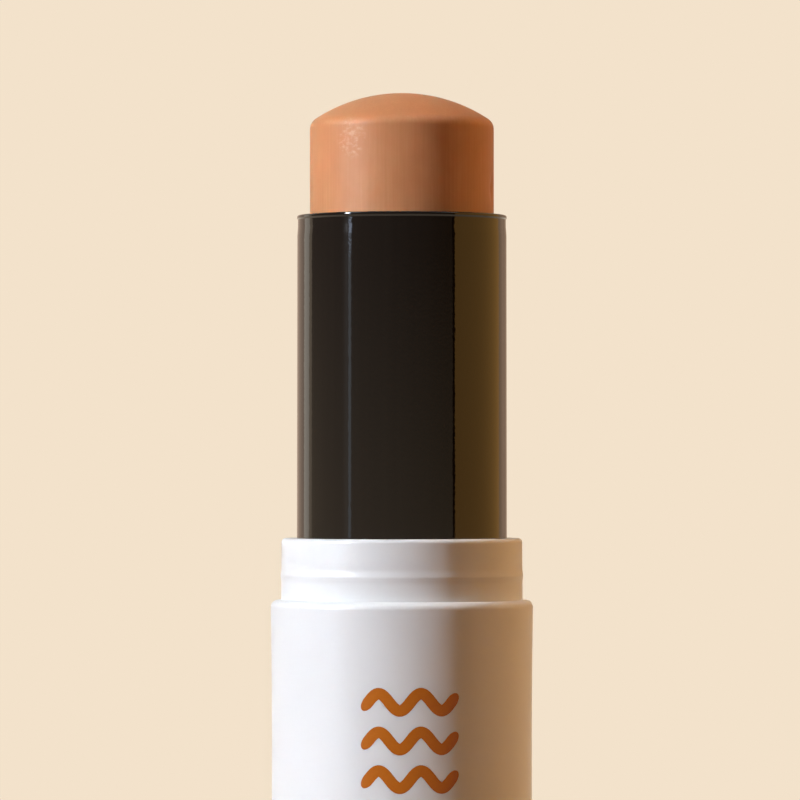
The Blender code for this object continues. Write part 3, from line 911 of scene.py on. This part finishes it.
    def spindle(self) -> Object:
        """Build the spindle: hexagonal foot, flange, journal, snap head and two-start screw.

        Each row is a ring. Below the screw its columns stand upright, and on the screw they turn by
        one turn for each lead, so they follow the crests.

        Returns:
            The spindle.
        """
        start, flange, journal = self.spindle_bottom, self.socket, self.journal
        under, over, snap = self.flange_bottom, self.flange_top, self.snap_head_bottom
        foot = supported(rounded_outline([(0.0, start, 0.0), (self.drive, start, 0.0),
                                          (self.drive, under, 0.0)]))
        body = supported(rounded_outline([
            (self.under_flange, under, 0.0), (flange, under, 0.2), (flange, over, 0.2),
            (journal, over, 0.2), (journal, snap, 0.0), (self.snap_head, snap, 0.1),
            (journal, self.thread_bottom, 0.0)]))
        low, high = self.thread_bottom + self.thread_start, self.spindle_top - self.spindle_point
        screw_heights = np.concatenate([np.arange(low, high, self.thread_row), [high]]) * MM
        shares = np.linspace(0.0, 1.0, 5)[1:]
        tip_heights = (high + self.spindle_point * shares) * MM
        heights = np.concatenate([foot[:, 1], body[:, 1], screw_heights, tip_heights,
                                  [self.spindle_top * MM]])
        angle = np.linspace(0.0, math.tau, SMALL_COLUMNS, endpoint=False)[None]
        crest = self.thread_radius(angle) * MM
        taper = 1 - shares * self.thread_depth / (self.thread_core + self.thread_depth)
        radii = np.concatenate([foot[:, :1] * self.hexagon_radius(angle),
                                np.repeat(body[:, :1], angle.size, axis=1),
                                np.repeat(crest, screw_heights.size, axis=0),
                                taper[:, None] * crest, np.zeros((1, angle.size))])
        twist = np.maximum(heights / MM - self.thread_bottom, 0.0) * math.tau / self.thread_lead
        grid = (radii, angle + twist[:, None], np.repeat(heights[:, None], angle.size, axis=1))
        return turned_piece("drive_spindle_screw", grid, False)

    def ring(self) -> Object:
        """Build the friction ring: a circle turned about the axis."""
        section = arc_outline((self.ring_radius, self.ring_height), self.ring_half, 0.0, math.tau,
                              32)[:-1]
        grid = turned_grid(section, columns=SMALL_COLUMNS)
        return turned_piece("friction_ring_moulding", grid, True)

    def wave_print(self) -> Object:
        """Build the print: plain waves in orange ink, wrapped on the front of the shell.

        A wave's middle line is z = c + b sin(2 pi x / r) for x from -r to r, and runs on straight
        past its ends. At each of its points the ink's section lies across the line: it is a flat
        band with eased edges. The ends are half circles, so the band's half-width there is
        h sqrt(1 - e^2) at the share e of the end. A point at an arc length a round the shell lies
        at the angle a / radius.

        Returns:
            The print, as one piece.
        """
        half, reach, swing = self.ink_half, self.wave_reach, self.wave_swing
        ends = np.sin(np.linspace(0.0, math.pi / 2, 9))
        x = np.concatenate([-reach - half * ends[:0:-1], np.linspace(-reach, reach, 97),
                            reach + half * ends[1:]])
        inner = np.clip(x, -reach, reach)
        width = half * np.sqrt(np.clip(1 - ((x - inner) / half) ** 2, 0.0, 1.0))
        slope = swing * math.tau / reach * np.cos(math.tau * inner / reach)
        rise = swing * np.sin(math.tau * inner / reach) + (x - inner) * slope
        across = np.stack([-slope, np.ones_like(slope)], axis=1) / np.hypot(slope, 1.0)[:, None]
        top = np.linspace(1.0, -1.0, 13)
        proud = self.ink_proud * (1 - top ** 10) - self.ink_tuck
        under = np.full(top.size - 2, -self.ink_sunk)
        section = np.concatenate([np.stack([top, proud], axis=1),
                                  np.stack([-top[1:-1], under], axis=1)])
        meshes = []
        for middle in self.wave_heights:
            line = np.stack([x + self.wave_shift, middle + rise], axis=1)
            place = line[:, None] + across[:, None] * (width[:, None] * section[:, 0])[:, :, None]
            radius = self.wall_radius(place[:, :, 1]) + section[:, 1]
            angle = place[:, :, 0] / self.radius - math.pi / 2
            points = np.stack([radius * np.cos(angle), radius * np.sin(angle), place[:, :, 1]],
                              axis=-1) * MM
            uv = np.zeros((len(x), len(section) + 1, 2))
            meshes.append(grid_mesh("printed_wave", points, uv, False))
        return joined("printed_waves", meshes)

    def build(self) -> list[Object]:
        """Build and dress the base's pieces.

        Returns:
            The pieces.
        """
        return [dress(self.shell(), WHITE, Body.BASE, "base_shell"),
                dress(self.wave_print(), INK, Body.BASE),
                dress(self.collar(), WHITE, Body.BASE, "neck_collar"),
                dress(self.spindle(), ACETAL, Body.BASE, "drive_spindle"),
                dress(self.ring(), SILICONE, Body.BASE, "friction_ring")]


def joined(name: str, pieces: Sequence[Object]) -> Object:
    """Join several finished objects into one.

    Args:
        name: Name of the new object.
        pieces: The objects, which are removed.

    Returns:
        The joined object.
    """
    work = bmesh.new()
    for piece in pieces:
        work.from_mesh(piece.data)
        bpy.data.objects.remove(piece, do_unlink=True)
    mesh = bpy.data.meshes.new(name)
    work.to_mesh(mesh)
    work.free()
    return finished_object(name, mesh)


@dataclass
class TurningBarrel:
    """The black barrel that the hand turns, with four keyways in its bore, and its end plug."""

    bottom: float = 12.9
    top: float = 82.45
    bore: float = 8.97
    radius: float = 10.02
    upper: float = 9.99
    lip: float = 10.01
    lip_drop: float = 0.29
    band: float = 9.93
    band_start: float = 0.43
    band_end: float = 1.09
    blend_end: float = 1.95
    rim_seam: float = 0.5
    collar_top: float = 51.7
    snap_middle: float = 1.5
    snap_half: float = 0.45
    snap_depth: float = 0.15
    keyway_radius: float = 9.42
    keyway_top: float = 77.15
    keyway_step: float = 0.03
    keyway_half: float = 1.0
    keyway_count: int = 4

    def tube(self) -> Object:
        """Build the tube: lip, band and blend at the rim, snap groove and keyways in the bore.

        Returns:
            The tube.
        """
        top, bottom, bore, keyway = self.top, self.bottom, self.bore, self.keyway_radius
        lip, inside, snap = self.lip, self.lip - self.rim_seam, bottom + self.snap_middle
        corners = [(inside, top, 0.0), (lip, top, 0.16), (lip, top - self.lip_drop, 0.06),
                   (self.band, top - self.band_start, 0.06),
                   (self.band, top - self.band_end, 0.8), (self.upper, top - self.blend_end, 1.5),
                   (self.radius, self.collar_top, 0.0), (self.radius, bottom, 0.2),
                   (keyway, bottom, 0.0), (bore, bottom, 0.05), (bore, snap - self.snap_half, 0.0),
                   (bore + self.snap_depth, snap, 0.2), (bore, snap + self.snap_half, 0.0),
                   (bore, self.keyway_top, 0.0), (bore, self.keyway_top + self.keyway_step, 0.0),
                   (bore, top, 0.18), (inside - SEAM, top, 0.0)]
        outline = supported(rounded_outline(corners), closed=True)
        channel = beside(outline, [((keyway, bottom), (keyway, bottom)),
                                   ((bore, self.keyway_top), (keyway, self.keyway_top))])
        flutes = Flutes(channel, self.keyway_count, self.keyway_half * MM, bore * MM)
        return turned_piece("barrel_tube", turned_grid(outline, flutes), True)

    def build(self, nodes: dict[str, Object]) -> list[Object]:
        """Build and dress the barrel, and give the plug's CAD node its finish.

        Args:
            nodes: The CAD nodes by name.

        Returns:
            The pieces.
        """
        plug = nodes["barrel_end_plug"]
        NATURAL.put_on(plug)
        return [dress(self.tube(), BLACK, Body.BARREL, "barrel"), plug]


@dataclass
class BulletCarrier:
    """What rises and sinks: the balm bullet, poured on the lift cup."""

    bottom: float = 28.37
    radius: float = 8.77
    apex: float = 94.12
    dome: float = 15.0
    edge: float = 1.15
    seat: float = 7.87
    pocket: float = 4.3
    bore: float = 2.8
    bore_top: float = 91.32
    cup_floor: float = 1.7
    nut_top: float = 6.3
    cup_top: float = 8.3
    slot_top: float = 34.07
    slot_half: float = 0.65
    slot_count: int = 4
    nick_angle: float = math.radians(-13.4)
    nick_height: float = 84.9
    nick_depth: float = 0.22
    nick_size: Pair = (0.45, 0.75)

    def bullet(self) -> Object:
        """Build the bullet: dome with a rounded edge, straight side, and the cup's cast underneath.

        The dome's edge is an arc of radius e about the point where the dome's sphere, drawn in by
        e, meets the cylinder, drawn in by e. A nick is pressed into the side: the radius loses
        d exp(-(a / p)^2 - (z / q)^2) at the distances a round and z up from its middle.

        Returns:
            The bullet.
        """
        slot, inset = self.slot_top, self.radius - self.edge
        floor, nut, cup = (self.bottom + part for part in (self.cup_floor, self.nut_top,
                                                           self.cup_top))
        centre = self.apex - self.dome
        slope = math.acos(inset / (self.dome - self.edge))
        edge_height = centre + math.sqrt((self.dome - self.edge) ** 2 - inset ** 2)
        corners = [(0.0, self.bore_top, 0.0), (self.bore, self.bore_top, 0.1),
                   (self.bore, nut, 0.1), (self.pocket, nut, 0.1), (self.pocket, slot, 0.0),
                   (self.pocket, floor, 0.0), (self.seat, floor, 0.0), (self.seat, slot, 0.0),
                   (self.seat, cup, 0.1), (self.radius, cup, 0.15),
                   (self.radius, edge_height, 0.0)]
        below = supported(rounded_outline(corners), longest=0.8 * MM)
        above = np.concatenate([arc_outline((inset, edge_height), self.edge, 0.0, slope, 14)[1:],
                                arc_outline((0.0, centre), self.dome, slope, math.pi / 2, 36)[1:]])
        above[-1, 0] = 0.0
        outline = np.concatenate([below, above])
        slotted = beside(outline, [((self.pocket, slot), (self.pocket, slot)),
                                   ((self.seat, slot), (self.seat, slot))])
        flutes = Flutes(slotted, self.slot_count, self.slot_half * MM, self.pocket * MM)
        radii, angle, heights = turned_grid(outline, flutes)
        off = np.mod(angle - self.nick_angle + math.pi, math.tau) - math.pi
        wide, tall = self.nick_size
        dent = np.exp(-(off * self.radius / wide) ** 2
                      - ((heights / MM - self.nick_height) / tall) ** 2)
        side = radii > (self.radius - 0.01) * MM
        radii = radii - np.where(side, self.nick_depth * MM * dent, 0.0)
        return turned_piece("sunscreen_bullet_balm", (radii, angle, heights), False)

    def build(self, nodes: dict[str, Object]) -> list[Object]:
        """Build and dress the bullet, and give the lift cup's CAD node its finish.

        Args:
            nodes: The CAD nodes by name.

        Returns:
            The pieces.
        """
        cup = nodes["lift_cup"]
        NATURAL.put_on(cup)
        return [dress(self.bullet(), BALM, Body.CARRIER, "sunscreen_bullet"), cup]


# The studio


def bearing(azimuth: float, elevation: float) -> np.ndarray:
    """Give the unit vector at an azimuth, from -Y towards +X, and an elevation, in degrees."""
    a, e = math.radians(azimuth), math.radians(elevation)
    return np.array([math.sin(a) * math.cos(e), -math.cos(a) * math.cos(e), math.sin(e)])


def seen_share(tree: NodeTree, mirrored: Node | None = None) -> Node:
    """Add the nodes that say how far the eye, a reflection or a see-through piece shows this.

    Args:
        tree: The node tree.
        mirrored: Factor on what reflections show, or None for 1.

    Returns:
        The share, from 0 to 1.
    """
    path = add_node(tree, "LightPath")
    seen = path.outputs["Is Glossy Ray"]
    if mirrored is not None:
        seen = add_node(tree, "Math", {"operation": "MULTIPLY"}, {0: seen, 1: mirrored})
    for ray in ("Is Camera Ray", "Is Transmission Ray"):
        seen = add_node(tree, "Math", {"operation": "MAXIMUM"}, {0: seen, 1: path.outputs[ray]})
    return seen


@dataclass(frozen=True)
class Lamp:
    """A rectangular studio light that faces the stick.

    Attributes:
        title: Name of the light.
        azimuth: Direction from the stick, in degrees from -Y towards +X.
        elevation: Direction above the horizon, in degrees.
        distance: Distance from the stick, in metres.
        size: Width and height, in metres.
        power: Radiant power, in watts.
        colour: sRGB hex colour.
        mirrored: Whether reflections show it.
    """

    title: str
    azimuth: float
    elevation: float
    distance: float
    size: Pair
    power: float
    colour: str
    mirrored: bool = True

    def build(self, centre: np.ndarray) -> Object:
        """Make the lamp, hidden from the camera.

        Args:
            centre: The point that it faces.

        Returns:
            The lamp.
        """
        light = bpy.data.lights.new(self.title, "AREA")
        light.shape = "RECTANGLE"
        light.size, light.size_y = self.size
        light.energy = self.power
        light.color = linear(self.colour)[:3]
        lamp = placed(self.title, light)
        away = bearing(self.azimuth, self.elevation)
        lamp.location = centre + away * self.distance
        lamp.rotation_euler = Vector(away).to_track_quat("Z", "Y").to_euler()
        lamp.visible_camera = False
        lamp.visible_glossy = self.mirrored
        return lamp


@dataclass(frozen=True)
class Screen:
    """A tall curved screen round the stick, which only reflections show.

    Attributes:
        title: Name of the screen.
        ends: Azimuths of its two ends, in degrees from -Y towards +X.
        upper: sRGB hex colour from the second height of the fade up.
        lower: sRGB hex colour from its first height down, or nothing for the upper one.
        fade: The two heights between which the colour changes, in metres.
        gain: Factor on the colours.
        radius: Distance from the stick, in metres.
        heights: Heights of its lower and upper edges, in metres.
    """

    title: str
    ends: Pair
    upper: str
    lower: str = ""
    fade: Pair = (0.045, 0.135)
    gain: float = 1.0
    radius: float = 1.3
    heights: Pair = (-1.2, 1.4)

    def material(self) -> Material:
        """Make the glowing cloth, which changes colour with the height.

        Returns:
            The cloth's material.
        """
        cloth = bpy.data.materials.new(f"{self.title}_cloth")
        tree = empty_tree(cloth)
        place = add_node(tree, "TexCoord").outputs["Object"]
        height = add_node(tree, "SeparateXYZ", links={0: place}).outputs["Z"]
        low, high = self.fade
        share = add_node(tree, "MapRange", {"From Min": low, "From Max": high}, {0: height})
        ends = {6: linear(self.lower or self.upper), 7: linear(self.upper)}
        colour = add_node(tree, "Mix", {"data_type": "RGBA", **ends}, {0: share})
        glow = add_node(tree, "Emission", {"Strength": self.gain}, {"Color": colour})
        add_node(tree, "OutputMaterial", links={"Surface": glow})
        return cloth

    def build(self) -> Object:
        """Build the screen: x = r sin a and y = -r cos a between two azimuths a and two heights.

        Returns:
            The screen.
        """
        azimuth = np.radians(np.linspace(*self.ends, 49))
        x, y = self.radius * np.sin(azimuth), -self.radius * np.cos(azimuth)
        points = [point for height in self.heights for point in zip(x, y, np.full(x.size, height))]
        first = np.arange(x.size - 1)
        quads = np.stack([first, first + 1, first + 1 + x.size, first + x.size], axis=1)
        mesh = bpy.data.meshes.new(self.title)
        mesh.from_pydata(points, [], quads)
        mesh.materials.append(self.material())
        screen = placed(self.title, mesh)
        for ray in ("camera", "diffuse", "transmission", "volume_scatter", "shadow"):
            setattr(screen, f"visible_{ray}", False)
        return screen


@dataclass
class Studio:
    """Cream paper sweep, soft key light, warm card, screens for the reflections and the camera.

    Attributes:
        cream: sRGB hex colour of the world, as the eye and reflections see it.
        paper: sRGB hex colour of the floor.
        bounce: sRGB hex colour of the light that the floor throws back on the stick.
        ambient: Strength of the world's grey light.
        dark_rise: Upward parts of a direction between which reflections get darker.
        dark_share: Share of the cream that they show overhead.
        floor_rings: Radii of the floor's rings, in metres.
        floor_fade: Distances between which the floor fades into the cream, in metres.
        floor_glow: Share of the cream in the floor near the stick.
        fibre_height: Height of the paper's fibres, in metres.
        centre: Point that the lamps face.
        camera_place: Where the camera stands.
        camera_aim: Point that it faces.
        lens: Its focal length, in millimetres.
        lamps: The lamps.
        screens: The screens.
    """

    cream: str = "F3E2CB"
    paper: str = "E6D6BC"
    bounce: str = "8A5A2C"
    ambient: float = 0.008
    dark_rise: Pair = (0.35, 0.7)
    dark_share: float = 0.1
    floor_rings: tuple[float, ...] = (0.0, 0.05, 0.1, 0.2, 0.4, 0.8, 1.6)
    floor_fade: Pair = (0.12, 0.42)
    floor_glow: float = 0.5
    fibre_height: float = 0.01 * MM
    centre: Triple = (0.0, 0.0, 0.06)
    camera_place: Triple = (-0.00018, -0.5435, 0.05828)
    camera_aim: Triple = (-0.00018, 0.0, 0.06486)
    lens: float = 256.5
    lamps: tuple[Lamp, ...] = (
        Lamp("key_strip", -64.0, 21.0, 1.0, (0.06, 0.3), 12.4, "EEF5FF"),
        Lamp("top_strip", 5.0, 80.0, 0.7, (1.2, 0.05), 1.8, "F4F8FF"),
        Lamp("warm_card", 105.0, 3.0, 0.6, (0.9, 2.0), 7.0, "FBBA60", False),
    )
    screens: tuple[Screen, ...] = (
        Screen("left_far_flat", (-172.0, -136.0), "D0B5A0"),
        Screen("left_mid_flat", (-136.0, -123.0), "FFF3E2", gain=1.25),
        Screen("left_near_flat", (-123.0, -117.0), "D6C2A8"),
        Screen("dark_flag", (-117.0, 57.2), "57493C", "9F8E76"),
        Screen("strip_glow", (-60.6, -57.2), "D3E3FF", "767C80", (0.134, 0.14), 4.0, 1.28),
        Screen("card_border", (57.2, 60.0), "000000"),
        Screen("card_face", (60.0, 134.0), "FBBC66", gain=1.08),
        Screen("right_near_flat", (134.0, 150.0), "DAB597"),
        Screen("right_far_flat", (150.0, 172.0), "B99A80"),
    )

    def world(self) -> None:
        """Show cream to the camera and in reflections, and light the stick by a dim grey.

        Reflections show less of the cream overhead, where a studio is dark.
        """
        world = bpy.data.worlds.new("studio")
        bpy.context.scene.world = world
        tree = empty_tree(world)
        way = add_node(tree, "TexCoord").outputs["Generated"]
        rise = add_node(tree, "SeparateXYZ", links={0: way}).outputs["Z"]
        low, high = self.dark_rise
        level = add_node(tree, "MapRange",
                         {"interpolation_type": "SMOOTHSTEP", "From Min": low, "From Max": high,
                          "To Min": 1.0, "To Max": self.dark_share}, {0: rise})
        seen = seen_share(tree, level)
        dim = add_node(tree, "Background",
                       {"Color": (1.0, 1.0, 1.0, 1.0), "Strength": self.ambient})
        bright = add_node(tree, "Background", {"Color": linear(self.cream), "Strength": 1.0})
        both = add_node(tree, "MixShader", links={0: seen, 1: dim, 2: bright})
        add_node(tree, "OutputWorld", links={"Surface": both})

    def floor(self) -> Object:
        """Build the floor: a round sheet of paper that keeps the stick's shadow near it.

        Half of what the eye sees of the paper is the world's cream, so that it looks pale, and
        further out it fades into that cream. The light that it throws back on the stick has a
        warmer tint than the paper itself.

        Returns:
            The floor.
        """
        outline = np.array([(radius, 0.0) for radius in self.floor_rings])
        grid = turned_grid(outline, columns=SMALL_COLUMNS)
        sheet = turned_piece("paper_floor", grid, False)
        material = bpy.data.materials.new("seamless_paper")
        tree = empty_tree(material)
        place = add_node(tree, "TexCoord").outputs["Object"]
        away = add_node(tree, "VectorMath", {"operation": "LENGTH"}, {0: place})
        near, far = self.floor_fade
        fade = add_node(tree, "MapRange",
                        {"interpolation_type": "SMOOTHSTEP", "From Min": near, "From Max": far},
                        {0: away.outputs["Value"]})
        seen = seen_share(tree)
        fibres = grain(tree, (0.4, 0.4, 0.4), 4.0)
        bump = add_node(tree, "Bump", {"Distance": self.fibre_height}, {"Height": fibres})
        ends = {6: linear(self.bounce), 7: linear(self.paper)}
        tint = add_node(tree, "Mix", {"data_type": "RGBA", **ends}, {0: seen})
        paper = add_node(tree, "BsdfDiffuse", links={"Color": tint, "Normal": bump})
        glow = add_node(tree, "Emission", {"Color": linear(self.cream)}, {"Strength": seen})
        least = add_node(tree, "Math", {"operation": "MULTIPLY", 1: self.floor_glow}, {0: seen})
        share = add_node(tree, "Math", {"operation": "MAXIMUM"}, {0: fade, 1: least})
        both = add_node(tree, "MixShader", links={0: share, 1: paper, 2: glow})
        add_node(tree, "OutputMaterial", links={"Surface": both})
        sheet.data.materials.append(material)
        return sheet

    def camera(self) -> Object:
        """Set up the camera at the photograph's viewing angle.

        Returns:
            The camera.
        """
        data = bpy.data.cameras.new("camera")
        data.lens = self.lens
        data.sensor_width = 36.0
        data.clip_start, data.clip_end = 0.01, 20.0
        camera = placed("camera", data)
        camera.location = self.camera_place
        away = Vector(self.camera_place) - Vector(self.camera_aim)
        camera.rotation_euler = away.to_track_quat("Z", "Y").to_euler()
        bpy.context.scene.camera = camera
        return camera

    def build(self) -> None:
        """Set up the world, floor, screens, lamps and camera."""
        self.world()
        self.floor()
        for screen in self.screens:
            screen.build()
        for lamp in self.lamps:
            lamp.build(np.array(self.centre))
        self.camera()
        bpy.context.scene.view_settings.view_transform = "Standard"


def main() -> None:
    """Load the CAD frame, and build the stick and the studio."""
    logging.basicConfig(level=logging.INFO, format="%(name)s: %(message)s")
    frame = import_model()
    nodes = frame["nodes"]
    pieces = TwistBase().build() + TurningBarrel().build(nodes) + BulletCarrier().build(nodes)
    for piece in pieces:
        LOG.info("%s: %d faces", piece.name, len(piece.data.polygons))
    Studio().build()


if __name__ == "__main__":
    main()
